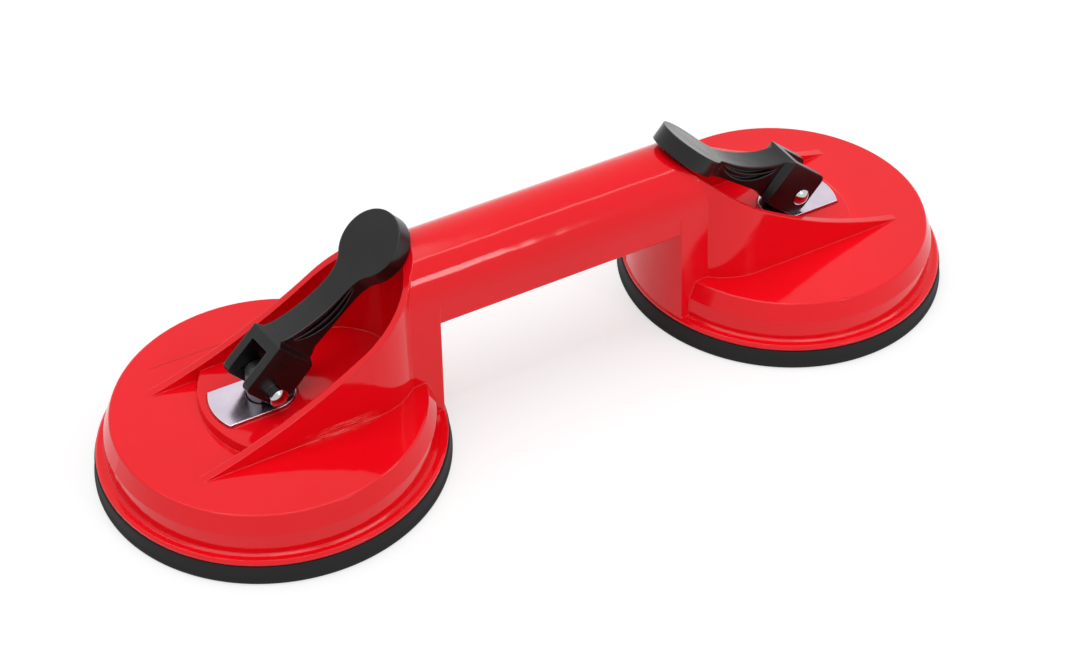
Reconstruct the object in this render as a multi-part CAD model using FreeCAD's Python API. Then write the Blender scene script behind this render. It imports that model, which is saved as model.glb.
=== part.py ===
"""Two-cup suction lifter for floor tiles.

Row frame: origin on the floor, midway between the two cups. +X runs along the handle to the
right-hand cup, +Y to the far side, +Z up. Millimetres. Each half is modelled in its own cup frame
(origin under the cup's centre, +x pointing away from the handle) and then placed on both sides.
The levers are modelled locked: folded in over the ends of the handle.
"""
import FreeCAD, Part
import math
import os

V = FreeCAD.Vector

# ---------------------------------------------------------------- driving sizes, millimetres
cup_spacing = 202.0          # centre to centre of the two cups
cup_radius = 59.0            # rubber lip on the floor
rim_height = 6.75            # rubber rim, floor to the red flange
lip_height = 1.4             # square lower lip of the rubber
lip_flare = 0.7              # the lip stands out past the rim by this
rim_face_width = 11.0        # flat sealing face, in from the lip
membrane = 2.6               # thickness of the flexing web
dome_rise = 3.6              # underside of the web above the floor when locked
hub_radius = 27.0            # thick middle of the rubber that holds the insert
hub_top = 13.2
locating_ring_height = 3.0   # ring on the rubber that centres it inside the disc
locating_ring_width = 4.0

flange_radius = 57.8         # red flange that presses on the rubber
flange_height = 2.1
foot_rise = 0.5              # slope where the flange meets the wall
wall_radius = 54.4           # disc wall at its foot
wall_draft = 0.3             # how much the wall leans in up to the chamfer
chamfer_height = 16.6
top_radius = 51.7
disc_top = 22.9
shell = 2.8                  # moulding wall of the disc
rib_thickness = 2.0
rib_count = 12
rib_foot = 15.6              # lower edge of the disc's ribs over the hub
rib_deep = 10.2              # and out past the hub
rib_step = 29.5              # radius where they deepen

handle_half_width = 16.0
handle_under = 44.7          # underside of the handle
handle_top = 68.4
handle_wall = 3.0
grip_rib_pitch = 9.6
grip_rib_count = 9
grip_rib_thickness = 2.2

leg_radius = 57.3            # handle-side face of the leg, round the cup's centre
leg_foot_half_width = 18.4
leg_wall = 3.0

hood_half_width = 24.0       # outer faces of the two wings at their foot
hood_top_half_width = 22.9   # and at the height of the handle
hood_centre = -27.2          # centre of the hood's rounded back
wing_wall = 3.0              # at the foot
wing_reach = 33.4            # tips of the wings, outward of the cup's centre
rim_radius = 197.0           # the hollow sweep of the wings' top edge
rim_end = -52.5              # where the sweep meets the top of the handle
scoop_back_centre = -23.6    # centre of the pocket's rounded back at its floor
scoop_back_lean = 4.4        # how far the pocket's back leans to the handle at the top

platform_top = 26.4
platform_reach = 21.8        # outer edge of the platform on the centre line
platform_arc = 35.0
platform_slope = 0.6         # draft of the outer face
platform_core = 23.6         # ceiling of the core under the platform

plate_thickness = 1.5
plate_recess = 0.5           # depth of the plate's seat in the platform
plate_half_width = 9.0
plate_reach = 19.5
plate_gap = 0.5              # round the plate in its seat

stud_offset = 2.0            # the stud stands this far outward of the cup's centre
stud_radius = 5.0
stud_flat = 4.0              # half thickness across the stud's two flats
stud_gap = 0.4               # round the stud in its bore
boss_radius = 12.0
boss_foot = 14.0
insert_radius = 22.0
insert_thickness = 1.5
insert_height = 9.4          # underside of the insert above the floor
foot_radius = 8.0
foot_thickness = 1.6
spigot_radius = 3.0
moulding_gap = 0.2           # between the insert and the rubber round it

pin_radius = 2.5
pin_fit = 0.05               # running clearance round the pin
pin_height = 6.1             # pin axis above the wear plate when locked
pin_head_radius = 3.3
pin_head_height = 1.5
pin_end_stand = 0.9          # plain end past the far cheek
left_pin_stand = 3.7         # the left pin has crept out towards the near side
cheek_gap = 0.1              # pin head to cheek

arm_angle = 40.0             # lever above the floor plane when locked
open_angle = 90.0 - arm_angle
cam_clearance = 0.06         # lever over the wear plate
foot_face = 4.2              # pin axis to the lever's end face
nose_radius = 5.2            # blend that makes the stud's travel even
head_half_width = 7.5
mouth_half_width = 4.35
mouth_depth = 9.8            # pin axis to the back of the mouth
head_height = 10.3           # pin axis to the open face of the head
head_back = 13.6
shoulder_run = 1.4
corner_radius = 2.2
arm_half_width = 5.0
arm_top = 3.2
arm_under = 5.4
arm_top_place = 24.0
pad_place = 55.8             # pin axis to the pad's centre, along the arm
pad_drop = 0.9               # pad's face below the pin axis, square to the arm
pad_radius = 11.9
pad_thickness = 6.2
neck_place = 39.5
pocket_depth = 1.6           # side recess in each flank of the arm
pocket_start = 16.2
pocket_end = 42.0
pocket_sag = 4.6
rib_of_arm = 0.8             # raised line that curves along the recess
left_lever_turn = 7.0        # the left stud sits turned a little in its round bore

# ---------------------------------------------------------------- sizes that follow
plate_floor = platform_top - plate_recess
plate_top = plate_floor + plate_thickness
pin_z = plate_top + pin_height
cam_depth = pin_height - cam_clearance
end_depth = foot_face
stud_travel = cam_depth - end_depth
flange_top = rim_height + flange_height
bore_radius = stud_radius + stud_gap
handle_arch_z = handle_top - handle_half_width
inner_wall_radius = wall_radius - shell
scoop_half_width = hood_half_width - wing_wall


def wire_of(edges):
    return Part.Wire(Part.__sortEdges__(edges))


def polygon(points):
    """Closed wire through the points."""
    return Part.makePolygon(list(points) + [points[0]])


def prism(wire, direction):
    return Part.Face(wire).extrude(direction)


def revolved(points):
    """Full turn of a closed outline of (radius, height) pairs about the cup's axis."""
    face = Part.Face(polygon([V(r, 0, z) for r, z in points]))
    return face.revolve(V(0, 0, 0), V(0, 0, 1), 360)


def box(x0, x1, y0, y1, z0, z1):
    return Part.makeBox(x1 - x0, y1 - y0, z1 - z0, V(x0, y0, z0))


def rod(radius, z0, z1, x=0.0, y=0.0):
    return Part.makeCylinder(radius, z1 - z0, V(x, y, z0))


def cross_rod(radius, y0, y1, x=0.0, z=0.0):
    return Part.makeCylinder(radius, y1 - y0, V(x, y0, z), V(0, 1, 0))


def u_plan(centre, half_width, reach, z):
    """Plan outline with a round back at centre - half_width and straight sides out to reach."""
    back = Part.Arc(V(centre, half_width, z), V(centre - half_width, 0, z), V(centre, -half_width, z))
    near = Part.LineSegment(V(centre, -half_width, z), V(reach, -half_width, z))
    end = Part.LineSegment(V(reach, -half_width, z), V(reach, half_width, z))
    far = Part.LineSegment(V(reach, half_width, z), V(centre, half_width, z))
    return wire_of([back.toShape(), near.toShape(), end.toShape(), far.toShape()])


# ---------------------------------------------------------------- red moulding
def disc_skin():
    """Solid outside of the disc, from the flange up."""
    foot = wall_radius
    return revolved([(0, rim_height),
                     (flange_radius - 0.4, rim_height),
                     (flange_radius, rim_height + 0.4),
                     (flange_radius, flange_top - 0.7),
                     (flange_radius - 0.7, flange_top),
                     (foot + 2 * foot_rise, flange_top),
                     (foot, flange_top + foot_rise),
                     (foot - wall_draft, chamfer_height),
                     (top_radius, disc_top - 0.3),
                     (top_radius - 0.5, disc_top),
                     (0, disc_top)])


def disc_core():
    """Hollow inside the disc, open below."""
    return revolved([(0, rim_height - 1),
                     (inner_wall_radius, rim_height - 1),
                     (inner_wall_radius - wall_draft, chamfer_height - 1),
                     (top_radius - shell, disc_top - shell),
                     (0, disc_top - shell)])


def handle_outline(x, half_width, under, arch_z):
    """Flat-sided section with a half-round top."""
    top = arch_z + half_width
    arch = Part.Arc(V(x, -half_width, arch_z), V(x, 0, top), V(x, half_width, arch_z))
    far = Part.LineSegment(V(x, half_width, arch_z), V(x, half_width, under))
    base = Part.LineSegment(V(x, half_width, under), V(x, -half_width, under))
    near = Part.LineSegment(V(x, -half_width, under), V(x, -half_width, arch_z))
    return wire_of([arch.toShape(), far.toShape(), base.toShape(), near.toShape()])


def leg_block(grow, foot, head, from_x):
    """Tapered leg, rounded to the disc on the handle side; grow is negative for its hollow."""
    wide = leg_foot_half_width + grow
    narrow = handle_half_width + grow
    flank = polygon([V(-leg_radius - 2, -wide, foot),
                     V(-leg_radius - 2, wide, foot),
                     V(-leg_radius - 2, narrow, head),
                     V(-leg_radius - 2, -narrow, head)])
    block = prism(flank, V(leg_radius + 2 + from_x, 0, 0))
    return block.common(rod(leg_radius + grow, foot - 1, head + 1))


def rim_cut():
    """Everything above the wings' sweeping top edge, as a wide slab."""
    low = V(wing_reach, -60, disc_top)
    high = V(rim_end, -60, handle_top + 0.2)
    middle = (low + high) * 0.5
    chord = (high - low).Length / 2
    normal = V(high.z - low.z, 0, low.x - high.x)
    normal.normalize()
    if normal.z > 0:
        normal = normal * -1
    dip = rim_radius - math.sqrt(rim_radius ** 2 - chord ** 2)
    sweep = Part.Arc(low, middle + normal * dip, high)
    roof = handle_top + 60
    sides = [Part.LineSegment(high, V(high.x, -60, roof)),
             Part.LineSegment(V(high.x, -60, roof), V(low.x + 20, -60, roof)),
             Part.LineSegment(V(low.x + 20, -60, roof), V(low.x + 20, -60, disc_top)),
             Part.LineSegment(V(low.x + 20, -60, disc_top), low)]
    return prism(wire_of([sweep.toShape()] + [s.toShape() for s in sides]), V(0, 120, 0))


def hood_skin():
    """Round-backed hood whose wings run out along the disc and fall to nothing."""
    foot = u_plan(hood_centre, hood_half_width, wing_reach + 1, disc_top - 1)
    head = u_plan(hood_centre, hood_top_half_width, wing_reach + 1, handle_top)
    return Part.makeLoft([foot, head], True, True)


def scoop():
    """Pocket between the wings, with its back leaning towards the handle."""
    height = handle_top + 4 - platform_top
    plan = u_plan(scoop_back_centre, scoop_half_width, wing_reach + 30, platform_top)
    return prism(plan, V(-scoop_back_lean, 0, height))


def platform_front():
    """Space outward of the platform's curved, sloping face, down to the top of the disc."""
    def outline(reach, z):
        centre = reach - platform_arc
        half = scoop_half_width
        edge = centre + math.sqrt(platform_arc ** 2 - half ** 2)
        arc = Part.Arc(V(edge, -half, z), V(reach, 0, z), V(edge, half, z))
        out = wing_reach + 30
        return wire_of([arc.toShape(),
                        Part.LineSegment(V(edge, half, z), V(out, half, z)).toShape(),
                        Part.LineSegment(V(out, half, z), V(out, -half, z)).toShape(),
                        Part.LineSegment(V(out, -half, z), V(edge, -half, z)).toShape()])
    rise = platform_top - disc_top
    over = (platform_top + 1 - disc_top) / rise
    low = outline(platform_reach + platform_slope, disc_top)
    high = outline(platform_reach + platform_slope * (1 - over), platform_top + 1)
    return Part.makeLoft([low, high], True, True)


def plate_outline(grow, z):
    """Round at the lever's heel, straight sides, and an outer end struck from the stud's axis."""
    half = plate_half_width + grow
    reach = plate_reach + grow
    corner = math.sqrt(reach ** 2 - half ** 2)
    heel = Part.Arc(V(0, half, z), V(-half, 0, z), V(0, -half, z))
    near = Part.LineSegment(V(0, -half, z), V(corner, -half, z))
    outer = Part.Arc(V(corner, -half, z), V(reach, 0, z), V(corner, half, z))
    far = Part.LineSegment(V(corner, half, z), V(0, half, z))
    return wire_of([heel.toShape(), near.toShape(), outer.toShape(), far.toShape()])


def disc_ribs():
    """Boss round the stud and the spokes that stiffen the disc from beneath."""
    ribs = [rod(boss_radius, boss_foot, disc_top - 0.5, stud_offset)]
    for index in range(rib_count):
        inside = boss_radius - stud_offset - 1
        outside = inner_wall_radius + 0.5
        y = -rib_thickness / 2
        spoke = prism(polygon([V(inside, y, rib_foot), V(rib_step, y, rib_foot),
                               V(rib_step + 2, y, rib_deep), V(outside, y, rib_deep),
                               V(outside, y, chamfer_height), V(top_radius - shell, y, disc_top - 1),
                               V(inside, y, disc_top - 1)]), V(0, rib_thickness, 0))
        spoke.rotate(V(0, 0, 0), V(0, 0, 1), (index + 0.5) * 360.0 / rib_count)
        ribs.append(spoke)
    return ribs


def half_solid():
    """Outside of one half: disc, leg and hood, without its hollows."""
    leg = leg_block(0.0, rim_height + 0.2, handle_arch_z, -40.0)
    hood = hood_skin().cut(rim_cut())
    return disc_skin().fuse([leg, hood])


def half_hollows():
    """Everything taken out of one half."""
    chimney_back = scoop_back_centre - scoop_half_width - leg_wall
    chimney = leg_block(-leg_wall, rim_height - 1, handle_arch_z, chimney_back)
    core_half = scoop_half_width - leg_wall
    core = prism(u_plan(scoop_back_centre, core_half, platform_reach - 4, disc_top - shell - 1),
                 V(0, 0, platform_core - disc_top + shell + 1))
    seat = prism(plate_outline(plate_gap, plate_floor), V(0, 0, plate_recess + 1))
    return [disc_core(), scoop(), platform_front(), chimney, core, seat]


def placed(shape, side):
    """A cup-frame shape put at the right-hand cup (side +1) or mirrored to the left-hand one (-1)."""
    out = shape.copy()
    if side < 0:
        out = out.mirror(V(0, 0, 0), V(1, 0, 0))
    out.translate(V(side * cup_spacing / 2, 0, 0))
    return out


def body_moulding():
    """Handle, both discs and both hoods in one moulding, ribbed and open beneath."""
    reach = cup_spacing / 2 + hood_centre - 12
    handle = prism(handle_outline(-reach, handle_half_width, handle_under, handle_arch_z), V(2 * reach, 0, 0))
    handle = handle.cut([placed(rim_cut(), side) for side in (1, -1)])
    solid = handle.fuse([placed(half_solid(), side) for side in (1, -1)])
    inner_reach = cup_spacing / 2 - leg_radius
    channel = prism(handle_outline(-inner_reach, handle_half_width - handle_wall, handle_under - 1,
                                   handle_arch_z), V(2 * inner_reach, 0, 0))
    hollows = [channel]
    for side in (1, -1):
        hollows += [placed(hollow, side) for hollow in half_hollows()]
    solid = solid.cut(hollows)
    stiffeners = []
    for index in range(grip_rib_count):
        x = (index - (grip_rib_count - 1) / 2) * grip_rib_pitch
        rib = prism(handle_outline(x - grip_rib_thickness / 2, handle_half_width - handle_wall + 0.5,
                                   handle_under, handle_arch_z), V(grip_rib_thickness, 0, 0))
        stiffeners.append(rib)
    for side in (1, -1):
        stiffeners += [placed(rib, side) for rib in disc_ribs()]
    solid = solid.fuse(stiffeners)
    bores = [placed(rod(bore_radius, 0, handle_top, stud_offset), side) for side in (1, -1)]
    return solid.cut(bores).removeSplitter()


# ---------------------------------------------------------------- rubber cup and steel parts
def suction_cup():
    """Rubber disc: flat sealing rim, domed web, thick hub round the steel insert."""
    rim = cup_radius - lip_flare
    seal = cup_radius - rim_face_width
    ring = inner_wall_radius - moulding_gap
    hub_under = insert_height - membrane
    outline = [(0, dome_rise),
               (hub_radius * 0.6, dome_rise),
               (seal - 3, 0.7),
               (seal, 0),
               (cup_radius, 0),
               (cup_radius, lip_height),
               (rim, lip_height + 1.0),
               (rim, rim_height - 0.3),
               (rim - 0.3, rim_height),
               (ring, rim_height),
               (ring - 0.3, rim_height + locating_ring_height),
               (ring - locating_ring_width, rim_height + locating_ring_height),
               (ring - locating_ring_width - 1.2, rim_height - 1.6),
               (hub_radius + 6, hub_under + 0.4),
               (hub_radius, insert_height),
               (hub_radius - 2, hub_top),
               (0, hub_top)]
    cup = revolved(outline)
    x = stud_offset
    pocket = rod(insert_radius + moulding_gap, insert_height - moulding_gap,
                 insert_height + insert_thickness + moulding_gap, x)
    foot = rod(foot_radius + moulding_gap, insert_height, insert_height + insert_thickness
               + foot_thickness + moulding_gap, x)
    neck = rod(stud_radius + moulding_gap, insert_height, hub_top + 1, x)
    rivet = rod(spigot_radius + 1.5 + moulding_gap, insert_height - 1.4 - moulding_gap, insert_height, x)
    return cup.cut([pocket, foot, neck, rivet])


def insert_disc():
    """Round steel plate moulded into the rubber, riveted to the stud's foot."""
    disc = rod(insert_radius, insert_height, insert_height + insert_thickness)
    holes = [rod(spigot_radius + pin_fit, insert_height - 1, insert_height + insert_thickness + 1)]
    for index in range(6):
        angle = math.radians(60 * index)
        holes.append(rod(2.0, insert_height - 1, insert_height + insert_thickness + 1,
                         15.5 * math.cos(angle), 15.5 * math.sin(angle)))
    return disc.cut(holes)


def pull_stud():
    """Round stud with two flats and a cross hole at the top, and a riveted foot."""
    foot_z = insert_height + insert_thickness
    shank = rod(stud_radius, foot_z, pin_z)
    crown = cross_rod(stud_radius, -stud_radius, stud_radius, 0, pin_z).common(
        rod(stud_radius, pin_z - stud_radius, pin_z + stud_radius))
    foot = rod(foot_radius, foot_z, foot_z + foot_thickness)
    spigot = rod(spigot_radius, insert_height - 0.2, foot_z)
    rivet = Part.makeCone(spigot_radius, spigot_radius + 1.5, 1.2, V(0, 0, insert_height - 1.2))
    stud = shank.fuse([crown, foot, spigot, rivet])
    flat_foot = plate_top - 1.0
    flats = [box(-stud_radius - 1, stud_radius + 1, stud_flat, stud_radius + 1, flat_foot,
                 pin_z + stud_radius + 1),
             box(-stud_radius - 1, stud_radius + 1, -stud_radius - 1, -stud_flat, flat_foot,
                 pin_z + stud_radius + 1)]
    eye = cross_rod(pin_radius + pin_fit, -stud_radius - 1, stud_radius + 1, 0, pin_z)
    return stud.cut(flats + [eye]).removeSplitter()


def wear_plate():
    plate = prism(plate_outline(0.0, plate_floor), V(0, 0, plate_thickness))
    return plate.cut(rod(bore_radius, plate_floor - 1, plate_top + 1, stud_offset))


def hinge_pin():
    """Pin through the lever's cheeks and the stud's eye, domed head on the near side."""
    face = head_half_width + cheek_gap
    shank = cross_rod(pin_radius, -face, face + pin_end_stand, 0, pin_z)
    ball = (pin_head_radius ** 2 + pin_head_height ** 2) / (2 * pin_head_height)
    dome = Part.makeSphere(ball, V(0, -face - pin_head_height + ball, pin_z))
    head = dome.common(cross_rod(pin_head_radius, -face - pin_head_height - 1, -face, 0, pin_z))
    return shank.fuse(head).removeSplitter()


# ---------------------------------------------------------------- black lever
along = V(-math.cos(math.radians(arm_angle)), 0, math.sin(math.radians(arm_angle)))
across = V(math.sin(math.radians(arm_angle)), 0, math.cos(math.radians(arm_angle)))


def at(p, q, y=0.0):
    """Point p along the arm and q square to it from the pin's axis."""
    return V(0, y, pin_z) + along * p + across * q


def lever_side():
    """Side outline of the lever: cam foot, heel, underside, pad, arm and open head."""
    y = -pad_radius - 5
    down = V(0, 0, -1)
    flat_z = pin_z - cam_depth
    # corner where the cam flat and the end face would meet, on their straight lines
    tip_q = (-cam_depth + foot_face * along.z) / across.z
    tip = at(-foot_face, tip_q, y)
    run = nose_radius * math.tan(math.radians(open_angle) / 2)
    nose_in = V(tip.x - run, y, flat_z)
    nose_out = tip + across * run
    bulge = (nose_in + nose_out) * 0.5 - tip
    bulge.normalize()
    nose_gap = nose_radius / math.cos(math.radians(open_angle) / 2) - nose_radius
    nose = Part.Arc(nose_in, tip + bulge * nose_gap, nose_out)
    heel = V(tip.x - 4.6, y, flat_z)
    points = [heel,
              at(6.0, -7.6, y),
              at(12.0, -7.4, y),
              at(15.8, -6.6, y),
              at(19.0, -arm_under, y),
              at(pad_place - pad_radius, -pad_drop - pad_thickness, y),
              at(pad_place + pad_radius + 1, -pad_drop - pad_thickness, y),
              at(pad_place + pad_radius + 1, -pad_drop, y),
              at(pad_place - pad_radius - 2, -pad_drop, y)]
    edges = [nose.toShape(), Part.LineSegment(nose_in, heel).toShape()]
    for start, end in zip(points, points[1:]):
        edges.append(Part.LineSegment(start, end).toShape())
    top = Part.BSplineCurve()
    top.interpolate([points[-1], at(33.0, 0.2, y), at(arm_top_place, arm_top, y), at(17.2, 7.0, y),
                     at(head_back, head_height, y)])
    edges.append(top.toShape())
    back = at(head_back, head_height, y)
    corner = at(-foot_face, head_height, y)
    front = corner + along * corner_radius
    side = corner - across * corner_radius
    soft = 1 - math.sqrt(0.5)
    round_end = Part.Arc(front, corner + (along - across) * (corner_radius * soft), side)
    edges += [Part.LineSegment(back, front).toShape(), round_end.toShape(),
              Part.LineSegment(side, nose_out).toShape()]
    return prism(wire_of(edges), V(0, -2 * y, 0))


def lever_plan():
    """Plan outline of the lever, seen square to the arm: round pad, waisted arm, wide head."""
    q = -head_height - 6
    pad_edge = math.sqrt(pad_radius ** 2 - 8.2 ** 2)
    pad_in = pad_place - pad_edge
    outline = []
    for sign in (1, -1):
        path = [at(-foot_face - 2, q, sign * head_half_width),
                at(head_back, q, sign * head_half_width),
                at(head_back + shoulder_run, q, sign * arm_half_width),
                at(neck_place - 2, q, sign * arm_half_width)]
        for start, end in zip(path, path[1:]):
            outline.append(Part.LineSegment(start, end).toShape())
        neck = Part.BSplineCurve()
        neck.interpolate(Points=[path[-1], at(pad_in, q, sign * 8.2)],
                         Tangents=[along * 9, (along * 8.2 + V(0, sign, 0) * pad_edge) * 0.8],
                         TangentFlags=[True, True])
        outline.append(neck.toShape())
    outline.append(Part.Arc(at(pad_in, q, 8.2), at(pad_place + pad_radius, q),
                            at(pad_in, q, -8.2)).toShape())
    outline.append(Part.LineSegment(at(-foot_face - 2, q, -head_half_width),
                                    at(-foot_face - 2, q, head_half_width)).toShape())
    return prism(wire_of(outline), across * (2 * head_height + 14))


def crescent(sign, low, high, shift, depth_y):
    """Slice between two bows over the recess; low and high are the bows' middles, across the arm."""
    ends = [at(pocket_start + 1, 4.4 + shift, depth_y), at(pocket_end, -2.2 + shift, depth_y)]
    middle = (pocket_start + pocket_end) / 2 - 2
    upper = Part.Arc(ends[0], at(middle, high, depth_y), ends[1])
    lower = Part.Arc(ends[0], at(middle, low, depth_y), ends[1])
    return prism(wire_of([upper.toShape(), lower.toShape()]), V(0, sign * 6, 0))


def flank_pocket(sign):
    """Two crescent recesses in one flank of the arm, with a thin raised line curving between them."""
    y = sign * (arm_half_width - pocket_depth)
    high = 0.9
    line = high - pocket_sag * 0.5
    half = rib_of_arm / 2
    upper = crescent(sign, line + half, high, half, y)
    lower = crescent(sign, high - pocket_sag, line - half, -half, y)
    return [upper, lower]


def lever():
    solid = lever_side().common(lever_plan())
    q = head_height + 10
    mouth = prism(polygon([at(-20, -q, -mouth_half_width), at(mouth_depth, -q, -mouth_half_width),
                           at(mouth_depth, q, -mouth_half_width), at(-20, q, -mouth_half_width)]),
                  V(0, 2 * mouth_half_width, 0))
    bore = cross_rod(pin_radius + pin_fit, -head_half_width - 1, head_half_width + 1, 0, pin_z)
    return solid.cut([mouth, bore] + flank_pocket(1) + flank_pocket(-1)).removeSplitter()


# ---------------------------------------------------------------- export
def on_stud(shape, side):
    """A shape built about the stud's axis; the left stud and all it carries sit turned a little."""
    out = shape.copy()
    out.translate(V(stud_offset, 0, 0))
    out = placed(out, side)
    if side < 0:
        out.rotate(V(-cup_spacing / 2 - stud_offset, 0, 0), V(0, 0, 1), left_lever_turn)
    return out


def build():
    nodes = {"body_moulding": body_moulding()}
    for name, side in (("right", 1), ("left", -1)):
        nodes["suction_cup_" + name] = placed(suction_cup(), side)
        nodes["wear_plate_" + name] = placed(wear_plate(), side)
        nodes["insert_disc_" + name] = on_stud(insert_disc(), side)
        nodes["pull_stud_" + name] = on_stud(pull_stud(), side)
        pin = hinge_pin()
        if side < 0:
            pin.translate(V(0, -left_pin_stand, 0))
        nodes["hinge_pin_" + name] = on_stud(pin, side)
        nodes["lever_" + name] = on_stud(lever(), side)
    return nodes


os.makedirs("parts", exist_ok=True)
for node, shape in build().items():
    shape.exportStep("parts/" + node + ".step")
    print(node, "solids", len(shape.Solids), "valid", shape.isValid(), "volume", round(shape.Volume, 1))
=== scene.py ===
"""Looks of the two-cup suction lifter: materials, turned rubber cups, floor, light and camera.

Metres, in the part's own frame: +X along the handle to the right-hand cup, +Z up from the floor.
"""

import math

import bmesh
import bpy
from mathutils import Matrix, Vector


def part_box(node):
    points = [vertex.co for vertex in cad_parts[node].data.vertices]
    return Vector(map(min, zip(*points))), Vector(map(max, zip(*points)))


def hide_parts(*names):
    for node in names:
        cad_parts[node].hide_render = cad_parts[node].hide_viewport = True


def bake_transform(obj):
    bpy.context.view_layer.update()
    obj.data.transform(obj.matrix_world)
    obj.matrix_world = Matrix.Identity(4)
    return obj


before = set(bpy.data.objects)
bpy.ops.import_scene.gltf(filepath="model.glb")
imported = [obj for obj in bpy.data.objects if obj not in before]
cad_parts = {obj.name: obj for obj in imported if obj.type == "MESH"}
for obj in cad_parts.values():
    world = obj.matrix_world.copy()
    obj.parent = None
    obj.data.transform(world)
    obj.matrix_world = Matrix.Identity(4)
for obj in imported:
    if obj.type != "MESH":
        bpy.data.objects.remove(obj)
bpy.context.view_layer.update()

MM = 0.001
SIDES = ("left", "right")
WHITE = (1, 1, 1, 1)


# ---------------------------------------------------------------- node helpers
def link(tree, source, target):
    tree.links.new(source, target)


def node(tree, kind, **settings):
    made = tree.nodes.new(kind)
    for name, value in settings.items():
        setattr(made, name, value)
    return made


def math_node(tree, operation, a, b=None, clamp=False):
    """One sum on numbers or sockets; a and b may each be either."""
    made = node(tree, "ShaderNodeMath", operation=operation, use_clamp=clamp)
    for index, value in enumerate((a, b)):
        if value is None:
            continue
        if isinstance(value, (int, float)):
            made.inputs[index].default_value = value
        else:
            link(tree, value, made.inputs[index])
    return made.outputs[0]


def mix_colour(tree, factor, a, b):
    """Colour a where factor is 0 and colour b where it is 1; each may be a value or a socket."""
    made = node(tree, "ShaderNodeMix", data_type="RGBA")
    for slot, value in ((0, factor), (6, a), (7, b)):
        if isinstance(value, (int, float, tuple)):
            made.inputs[slot].default_value = value
        else:
            link(tree, value, made.inputs[slot])
    return made.outputs[2]


def remap(tree, value, low, high, to_low, to_high):
    """Stretches low..high to to_low..to_high and holds the ends."""
    made = node(tree, "ShaderNodeMapRange")
    link(tree, value, made.inputs[0])
    for index, number in enumerate((low, high, to_low, to_high)):
        made.inputs[index + 1].default_value = number
    return made.outputs[0]


def noise(tree, scale, detail=3.0, roughness=0.55, stretch=(1, 1, 1)):
    """Noise fixed to the piece; a stretch below 1 draws it out along that axis."""
    place = node(tree, "ShaderNodeTexCoord")
    mapping = node(tree, "ShaderNodeMapping")
    mapping.inputs["Scale"].default_value = stretch
    link(tree, place.outputs["Object"], mapping.inputs[0])
    made = node(tree, "ShaderNodeTexNoise")
    made.inputs["Scale"].default_value = scale
    made.inputs["Detail"].default_value = detail
    made.inputs["Roughness"].default_value = roughness
    link(tree, mapping.outputs[0], made.inputs["Vector"])
    return made.outputs["Fac"]


def new_group(name, inputs, outputs):
    """An empty node group with float or colour sockets; returns it with its two end nodes."""
    group = bpy.data.node_groups.new(name, "ShaderNodeTree")
    for label, kind, default in inputs:
        socket = group.interface.new_socket(label, in_out="INPUT", socket_type=kind)
        socket.default_value = default
    for label, kind in outputs:
        group.interface.new_socket(label, in_out="OUTPUT", socket_type=kind)
    return group, group.nodes.new("NodeGroupInput"), group.nodes.new("NodeGroupOutput")


def make_edge_group():
    """Mask that is 1 along sharp outer edges, broken up so that it looks rubbed."""
    group, start, end = new_group("edge_rub", [("Width", "NodeSocketFloat", 0.0006),
                                               ("Breakup", "NodeSocketFloat", 0.5)],
                                  [("Mask", "NodeSocketFloat")])
    bevel = node(group, "ShaderNodeBevel", samples=6)
    link(group, start.outputs["Width"], bevel.inputs["Radius"])
    plain = node(group, "ShaderNodeNewGeometry")
    dot = node(group, "ShaderNodeVectorMath", operation="DOT_PRODUCT")
    link(group, bevel.outputs[0], dot.inputs[0])
    link(group, plain.outputs["Normal"], dot.inputs[1])
    turn = math_node(group, "SUBTRACT", 1.0, dot.outputs["Value"])
    edge = remap(group, turn, 0.01, 0.12, 0.0, 1.0)
    spots = remap(group, noise(group, 240.0), 0.35, 0.65, 0.0, 1.0)
    kept = math_node(group, "MULTIPLY", spots, start.outputs["Breakup"])
    whole = math_node(group, "SUBTRACT", 1.0, start.outputs["Breakup"])
    link(group, math_node(group, "MULTIPLY", edge, math_node(group, "ADD", kept, whole)), end.inputs[0])
    return group


def make_soft_normal_group():
    """Normal with every sharp edge rounded by Radius and a faint uneven surface of Waviness."""
    group, start, end = new_group("soft_normal", [("Radius", "NodeSocketFloat", 0.0006),
                                                  ("Waviness", "NodeSocketFloat", 0.02),
                                                  ("Wave Scale", "NodeSocketFloat", 40.0),
                                                  ("Grain", "NodeSocketFloat", 0.0),
                                                  ("Grain Scale", "NodeSocketFloat", 2500.0)],
                                  [("Normal", "NodeSocketVector")])
    bevel = node(group, "ShaderNodeBevel", samples=8)
    link(group, start.outputs["Radius"], bevel.inputs["Radius"])
    place = node(group, "ShaderNodeTexCoord")
    normal = bevel.outputs[0]
    for strength, scale, distance in (("Waviness", "Wave Scale", 0.002), ("Grain", "Grain Scale", 0.0001)):
        texture = node(group, "ShaderNodeTexNoise")
        texture.inputs["Detail"].default_value = 2.0
        link(group, place.outputs["Object"], texture.inputs["Vector"])
        link(group, start.outputs[scale], texture.inputs["Scale"])
        bump = node(group, "ShaderNodeBump")
        bump.inputs["Distance"].default_value = distance
        link(group, start.outputs[strength], bump.inputs["Strength"])
        link(group, texture.outputs["Fac"], bump.inputs["Height"])
        link(group, normal, bump.inputs["Normal"])
        normal = bump.outputs[0]
    link(group, normal, end.inputs[0])
    return group


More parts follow.
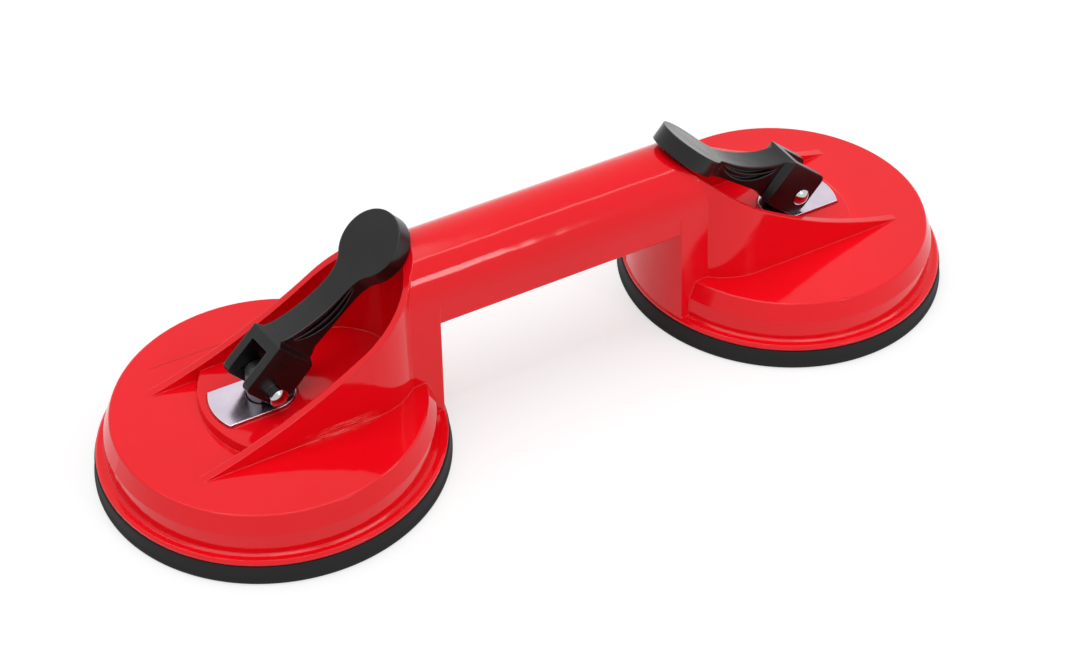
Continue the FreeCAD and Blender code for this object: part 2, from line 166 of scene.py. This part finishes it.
def make_cloud_group():
    """Slow variation between 0 and 1, for colour and roughness."""
    group, start, end = new_group("cloud", [("Scale", "NodeSocketFloat", 12.0)],
                                  [("Value", "NodeSocketFloat")])
    place = node(group, "ShaderNodeTexCoord")
    texture = node(group, "ShaderNodeTexNoise")
    texture.inputs["Detail"].default_value = 4.0
    link(group, place.outputs["Object"], texture.inputs["Vector"])
    link(group, start.outputs["Scale"], texture.inputs["Scale"])
    link(group, remap(group, texture.outputs["Fac"], 0.3, 0.7, 0.0, 1.0), end.inputs[0])
    return group


def make_strip_group():
    """Mask that is 1 along the middle of a strip along X and fades to its sides and ends, in metres."""
    group, start, end = new_group("strip_mark", [("From X", "NodeSocketFloat", 0.0),
                                                 ("To X", "NodeSocketFloat", 0.01),
                                                 ("Y", "NodeSocketFloat", 0.0),
                                                 ("Half Width", "NodeSocketFloat", 0.001),
                                                 ("Fade", "NodeSocketFloat", 0.004),
                                                 ("Top Z", "NodeSocketFloat", 0.03)],
                                  [("Mask", "NodeSocketFloat")])
    place = node(group, "ShaderNodeTexCoord")
    split = node(group, "ShaderNodeSeparateXYZ")
    link(group, place.outputs["Object"], split.inputs[0])
    along, across, height = split.outputs
    fade = start.outputs["Fade"]
    past_start = math_node(group, "SUBTRACT", along, start.outputs["From X"])
    before_end = math_node(group, "SUBTRACT", start.outputs["To X"], along)
    start_fade = math_node(group, "DIVIDE", past_start, fade, clamp=True)
    end_fade = math_node(group, "DIVIDE", before_end, fade, clamp=True)
    off_line = math_node(group, "ABSOLUTE", math_node(group, "SUBTRACT", across, start.outputs["Y"]))
    share = math_node(group, "DIVIDE", off_line, start.outputs["Half Width"])
    side_fade = math_node(group, "SUBTRACT", 1.0, share, clamp=True)
    low = math_node(group, "LESS_THAN", height, start.outputs["Top Z"])
    length_mask = math_node(group, "MULTIPLY", start_fade, end_fade)
    width_mask = math_node(group, "MULTIPLY", low, side_fade)
    link(group, math_node(group, "MULTIPLY", length_mask, width_mask), end.inputs[0])
    return group


EDGE_RUB = make_edge_group()
SOFT_NORMAL = make_soft_normal_group()
CLOUD = make_cloud_group()
STRIP = make_strip_group()


def use_group(tree, group, **values):
    """Places a shared group; an underscore in a value's name stands for a space in the socket's."""
    made = node(tree, "ShaderNodeGroup", node_tree=group)
    for name, value in values.items():
        made.inputs[name.replace("_", " ")].default_value = value
    return made.outputs[0]


def new_material(name, **socket_values):
    """A material with one Principled shader; socket_values are set on its own sockets."""
    material = bpy.data.materials.new(name)
    material.use_nodes = True
    tree = material.node_tree
    shader = tree.nodes["Principled BSDF"]
    for label, value in socket_values.items():
        shader.inputs[label.replace("_", " ")].default_value = value
    return material, tree, shader


# ---------------------------------------------------------------- materials
RED_DEEP = (0.82, 0.0015, 0.007, 1)
RED_BRIGHT = (0.90, 0.003, 0.011, 1)
RED_RUBBED = (0.95, 0.06, 0.08, 1)
RED_SCUFFED = (0.95, 0.30, 0.28, 1)
# colour of a thin dark line on top of the left disc, beside its far wing
RED_THIN_DARK_LINE = (0.25, 0.0, 0.002, 1)
BLACK_DEEP = (0.004, 0.004, 0.0045, 1)
BLACK_BRIGHT = (0.008, 0.008, 0.0085, 1)
BLACK_RUBBED = (0.10, 0.10, 0.105, 1)
RUBBER_DEEP = (0.006, 0.006, 0.0065, 1)
RUBBER_BRIGHT = (0.012, 0.012, 0.0125, 1)
METAL_RUBBED = (0.93, 0.92, 0.94, 1)

# a faint thin dark line along X on top of the left housing, beside its far wing
FAR_WING_DARK_LINE = dict(From_X=-130.5 * MM, To_X=-100 * MM, Y=33.5 * MM, Half_Width=0.5 * MM, Top_Z=23.5 * MM)
# a scuff where the left near wing meets its housing
WING_SCUFF = dict(From_X=-100 * MM, To_X=-72.5 * MM, Y=-24.3 * MM, Half_Width=1.9 * MM, Fade=7 * MM,
                  Top_Z=26.2 * MM)


def red_body():
    """Glossy red moulding, with a scuff at the foot of one wing and a faint thin dark line on the disc."""
    material, tree, shader = new_material("red_gloss_plastic", IOR=1.5, Specular_IOR_Level=0.3)
    cloud = use_group(tree, CLOUD, Scale=14.0)
    plain = mix_colour(tree, cloud, RED_DEEP, RED_BRIGHT)
    rub = math_node(tree, "MULTIPLY", use_group(tree, EDGE_RUB, Width=0.6 * MM, Breakup=0.6), 0.25)
    rubbed = mix_colour(tree, rub, plain, RED_RUBBED)
    # darkens a thin strip along X on top of the left disc, beside its far wing
    dark_line = math_node(tree, "MULTIPLY", use_group(tree, STRIP, **FAR_WING_DARK_LINE), 0.45)
    lined = mix_colour(tree, dark_line, rubbed, RED_THIN_DARK_LINE)
    fine_marks = noise(tree, 1900.0, detail=6.0, roughness=0.7, stretch=(0.12, 1, 1))
    scratches = remap(tree, fine_marks, 0.46, 0.68, 0.0, 1.0)
    scuff = math_node(tree, "MULTIPLY", use_group(tree, STRIP, **WING_SCUFF), scratches)
    scuffed = mix_colour(tree, math_node(tree, "MULTIPLY", scuff, 0.6), lined, RED_SCUFFED)
    link(tree, scuffed, shader.inputs["Base Color"])
    polish = remap(tree, cloud, 0.0, 1.0, 0.06, 0.12)
    dulled = math_node(tree, "ADD", polish, math_node(tree, "MULTIPLY", scuff, 0.4))
    link(tree, dulled, shader.inputs["Roughness"])
    normal = use_group(tree, SOFT_NORMAL, Radius=0.5 * MM, Waviness=0.15, Wave_Scale=42.0)
    link(tree, normal, shader.inputs["Normal"])
    return material


def lever_black():
    """Glossy black plastic of the levers, a little grey where the edges are rubbed."""
    material, tree, shader = new_material("black_gloss_plastic", IOR=1.5, Specular_IOR_Level=0.35)
    cloud = use_group(tree, CLOUD, Scale=60.0)
    plain = mix_colour(tree, cloud, BLACK_DEEP, BLACK_BRIGHT)
    rub = math_node(tree, "MULTIPLY", use_group(tree, EDGE_RUB, Width=0.4 * MM, Breakup=0.5), 0.35)
    link(tree, mix_colour(tree, rub, plain, BLACK_RUBBED), shader.inputs["Base Color"])
    link(tree, remap(tree, cloud, 0.0, 1.0, 0.20, 0.32), shader.inputs["Roughness"])
    normal = use_group(tree, SOFT_NORMAL, Radius=0.7 * MM, Waviness=0.12, Wave_Scale=90.0)
    link(tree, normal, shader.inputs["Normal"])
    return material


def cup_rubber():
    """Dull black rubber with a fine grain."""
    material, tree, shader = new_material("cup_rubber", IOR=1.45, Specular_IOR_Level=0.3)
    cloud = use_group(tree, CLOUD, Scale=30.0)
    link(tree, mix_colour(tree, cloud, RUBBER_DEEP, RUBBER_BRIGHT), shader.inputs["Base Color"])
    link(tree, remap(tree, cloud, 0.0, 1.0, 0.52, 0.68), shader.inputs["Roughness"])
    normal = use_group(tree, SOFT_NORMAL, Radius=0.6 * MM, Waviness=0.05, Wave_Scale=60.0, Grain=0.35)
    link(tree, normal, shader.inputs["Normal"])
    return material


def metal(name, dark, light, rough, grain_scale, stretch):
    """Worked metal between two shades, with a fine grain drawn out by stretch."""
    material, tree, shader = new_material(name, Metallic=1.0)
    grain = noise(tree, grain_scale, detail=4.0, roughness=0.6, stretch=stretch)
    plain = mix_colour(tree, use_group(tree, CLOUD, Scale=80.0), dark, light)
    rub = math_node(tree, "MULTIPLY", use_group(tree, EDGE_RUB, Width=0.4 * MM, Breakup=0.3), 0.6)
    link(tree, mix_colour(tree, rub, plain, METAL_RUBBED), shader.inputs["Base Color"])
    link(tree, remap(tree, grain, 0.3, 0.7, rough * 0.75, rough * 1.25), shader.inputs["Roughness"])
    normal = use_group(tree, SOFT_NORMAL, Radius=0.4 * MM, Waviness=0.03, Wave_Scale=120.0)
    bump = node(tree, "ShaderNodeBump")
    bump.inputs["Strength"].default_value = 0.06
    bump.inputs["Distance"].default_value = 0.1 * MM
    link(tree, grain, bump.inputs["Height"])
    link(tree, normal, bump.inputs["Normal"])
    link(tree, bump.outputs[0], shader.inputs["Normal"])
    return material


def zinc_plate():
    return metal("zinc_plate", dark=(0.60, 0.54, 0.64, 1), light=(0.74, 0.65, 0.75, 1),
                 rough=0.20, grain_scale=260.0, stretch=(1, 12, 1))


def stud_steel():
    return metal("stud_steel", dark=(0.10, 0.10, 0.11, 1), light=(0.17, 0.17, 0.18, 1),
                 rough=0.38, grain_scale=400.0, stretch=(1, 1, 10))


def insert_steel():
    return metal("insert_steel", dark=(0.34, 0.34, 0.36, 1), light=(0.45, 0.45, 0.47, 1),
                 rough=0.40, grain_scale=200.0, stretch=(1, 8, 1))


def pin_steel():
    return metal("pin_steel", dark=(0.50, 0.50, 0.52, 1), light=(0.60, 0.60, 0.62, 1),
                 rough=0.12, grain_scale=500.0, stretch=(1, 1, 1))


# finish of each piece, by the start of its node's name
FINISHES = {
    "body_moulding": red_body(),
    "suction_cup": cup_rubber(),
    "lever": lever_black(),
    "wear_plate": zinc_plate(),
    "pull_stud": stud_steel(),
    "insert_disc": insert_steel(),
    "hinge_pin": pin_steel(),
}

for name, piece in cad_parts.items():
    for prefix, finish in FINISHES.items():
        if name.startswith(prefix):
            piece.data.materials.clear()
            piece.data.materials.append(finish)


# ---------------------------------------------------------------- rubber cups
CUP_STEPS = 192             # facets round a cup
CREASE_ANGLE = 38           # degrees between faces from which an edge stays crisp
MERGE_WITHIN = 0.02         # joins the copies of a point on the axis

# heights and radii of the rubber in millimetres
RIM_EDGE = 0.35             # rounding at the foot of the rim
RIM_FOOT_TOP = 1.1          # top of the foot, the widest part of the rim
RIM_SIDE_IN = 0.7           # how far the rim's side stands back from the foot
RIM_TOP = 6.75
LIP_OUTER, LIP_INNER = 51.4, 47.4
LIP_TOP = 9.75
LIP_DRAFT = 0.3
HUB_FOOT = 25               # the thick middle that holds the steel disc
DISH_DEPTH = 3.6            # hollow under the middle
SEAL_INNER = 48.6           # inner edge of the flat ring that seals on the floor


def cup_outline(rim_radius, hub_height):
    """(radius, height) from the middle of the underside, round the rim, to the middle of the hub."""
    side = rim_radius - RIM_SIDE_IN
    underside = [(0, DISH_DEPTH), (9, DISH_DEPTH), (16.2, DISH_DEPTH), (30, 2.35), (45, 0.7), (48, 0.05),
                 (SEAL_INNER, 0), (rim_radius - 0.4, 0)]
    rim = [(rim_radius, RIM_EDGE), (rim_radius, RIM_FOOT_TOP), (rim_radius - 0.25, 1.5), (side, 2.4),
           (side, 6.3), (side - 0.15, 6.6), (side - 0.5, RIM_TOP)]
    lip = [(LIP_OUTER, RIM_TOP), (LIP_OUTER - LIP_DRAFT, LIP_TOP), (LIP_INNER, LIP_TOP)]
    top = [(46.2, 5.15), (33, 7.2), (27, 9.4), (HUB_FOOT, hub_height), (0, hub_height)]
    return underside + rim + lip + top


def turned_mesh(name, outline):
    """The outline, in millimetres, turned once round the Z axis."""
    build = bmesh.new()
    points = [build.verts.new((radius * MM, 0, height * MM)) for radius, height in outline]
    edges = [build.edges.new(pair) for pair in zip(points, points[1:])]
    bmesh.ops.spin(build, geom=points + edges, cent=(0, 0, 0), axis=(0, 0, 1), angle=math.tau,
                   steps=CUP_STEPS, use_duplicate=False)
    bmesh.ops.remove_doubles(build, verts=build.verts, dist=MERGE_WITHIN * MM)
    bmesh.ops.recalc_face_normals(build, faces=build.faces)
    for face in build.faces:
        face.smooth = True
    mesh = bpy.data.meshes.new(name)
    build.to_mesh(mesh)
    build.free()
    return mesh


def rubber_cup(side):
    """Lathe-turned rubber disc; its hub follows the stud while its rim stays on the floor."""
    low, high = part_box("suction_cup_" + side)
    centre_x = (low.x + high.x) / 2
    outline = cup_outline(rim_radius=(high.x - low.x) / 2 / MM, hub_height=high.z / MM)
    mesh = turned_mesh("rubber_cup_" + side, outline)
    mesh.transform(Matrix.Translation((centre_x, 0, 0)))
    cup = bpy.data.objects.new("rubber_cup_" + side, mesh)
    bpy.context.collection.objects.link(cup)
    cup.data.materials.append(FINISHES["suction_cup"])
    crease = cup.modifiers.new("crease", "EDGE_SPLIT")
    crease.split_angle = math.radians(CREASE_ANGLE)
    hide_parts("suction_cup_" + side)
    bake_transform(cup)


for side in SIDES:
    rubber_cup(side)


# ---------------------------------------------------------------- floor and light
FLOOR_SIZE = 12
FLOOR_DROP = 0.1 * MM       # just under the sealing rings, so that no two faces lie in one plane
FLOOR_PALE = (0.84, 0.84, 0.84, 1)
FLOOR_SHADED = (0.45, 0.45, 0.45, 1)    # with FLOOR_LIFT it comes to white and still takes a shadow
FLOOR_LIFT = 0.60
STUDIO_LEVEL = 0.56         # light that the white studio gives the lifter from all round


def seen_directly(tree):
    """1 for rays from the camera, mirror rays and rays through glass, which all see the white studio."""
    seen = node(tree, "ShaderNodeLightPath")
    direct = math_node(tree, "MAXIMUM", seen.outputs["Is Camera Ray"], seen.outputs["Is Glossy Ray"])
    return math_node(tree, "MAXIMUM", direct, seen.outputs["Is Transmission Ray"])


def build_floor():
    """White table: rays from the camera and mirror rays see it lifted to white, its shadow kept faint."""
    bpy.ops.mesh.primitive_plane_add(size=FLOOR_SIZE, location=(0, 0, -FLOOR_DROP))
    floor = bpy.context.object
    floor.name = "studio_floor"
    material, tree, shader = new_material("studio_white", Roughness=0.9, Specular_IOR_Level=0.1)
    direct = seen_directly(tree)
    link(tree, mix_colour(tree, direct, FLOOR_PALE, FLOOR_SHADED), shader.inputs["Base Color"])
    shader.inputs["Emission Color"].default_value = WHITE
    link(tree, math_node(tree, "MULTIPLY", direct, FLOOR_LIFT), shader.inputs["Emission Strength"])
    floor.data.materials.append(material)


def area_light(name, place, width, depth, power, target=None):
    """Soft panel, width along its own X; it faces straight down unless it has a target."""
    data = bpy.data.lights.new(name, "AREA")
    data.shape = "RECTANGLE"
    data.size = width
    data.size_y = depth
    data.energy = power
    lamp = bpy.data.objects.new(name, data)
    lamp.location = place
    if target is not None:
        lamp.rotation_euler = (Vector(target) - Vector(place)).to_track_quat("-Z", "Y").to_euler()
    bpy.context.collection.objects.link(lamp)


def build_light():
    """White world, a wide panel overhead, a long tube along the handle and a small panel in front."""
    world = bpy.data.worlds.new("studio")
    bpy.context.scene.world = world
    world.use_nodes = True
    tree = world.node_tree
    back = tree.nodes["Background"]
    direct = seen_directly(tree)
    back.inputs["Color"].default_value = WHITE
    link(tree, remap(tree, direct, 0.0, 1.0, STUDIO_LEVEL, 1.0), back.inputs["Strength"])
    area_light("over_soft", place=(-0.2, 0.35, 1.6), width=1.5, depth=1.2, power=10.5)
    area_light("tube", place=(0.45, -0.27, 1.25), width=1.7, depth=0.10, power=2.2)
    area_light("front_soft", place=(0.55, -1.57, 0.97), width=0.35, depth=0.35, power=4.0,
               target=(0, 0, 0.03))


build_floor()
build_light()


# ---------------------------------------------------------------- camera
EYE = (-276.6, -477.8, 493.7)       # millimetres
AZIMUTH, ELEVATION, ROLL = -30.1, 41.06, 0.3    # degrees
LENS, SENSOR_WIDTH = 70.6, 36.0     # millimetres


def build_camera():
    """Camera from the near left, looking down along the handle."""
    azimuth, elevation, roll = math.radians(AZIMUTH), math.radians(ELEVATION), math.radians(ROLL)
    data = bpy.data.cameras.new("camera")
    data.lens = LENS
    data.sensor_width = SENSOR_WIDTH
    camera = bpy.data.objects.new("camera", data)
    eye = Vector(EYE) * MM
    look = Vector((-math.sin(azimuth) * math.cos(elevation), math.cos(azimuth) * math.cos(elevation),
                   -math.sin(elevation)))
    rotation = look.to_track_quat("-Z", "Y").to_matrix() @ Matrix.Rotation(roll, 3, "Z")
    camera.matrix_world = Matrix.Translation(eye) @ rotation.to_4x4()
    bpy.context.collection.objects.link(camera)
    bpy.context.scene.camera = camera


build_camera()
bpy.context.scene.view_settings.view_transform = "Standard"
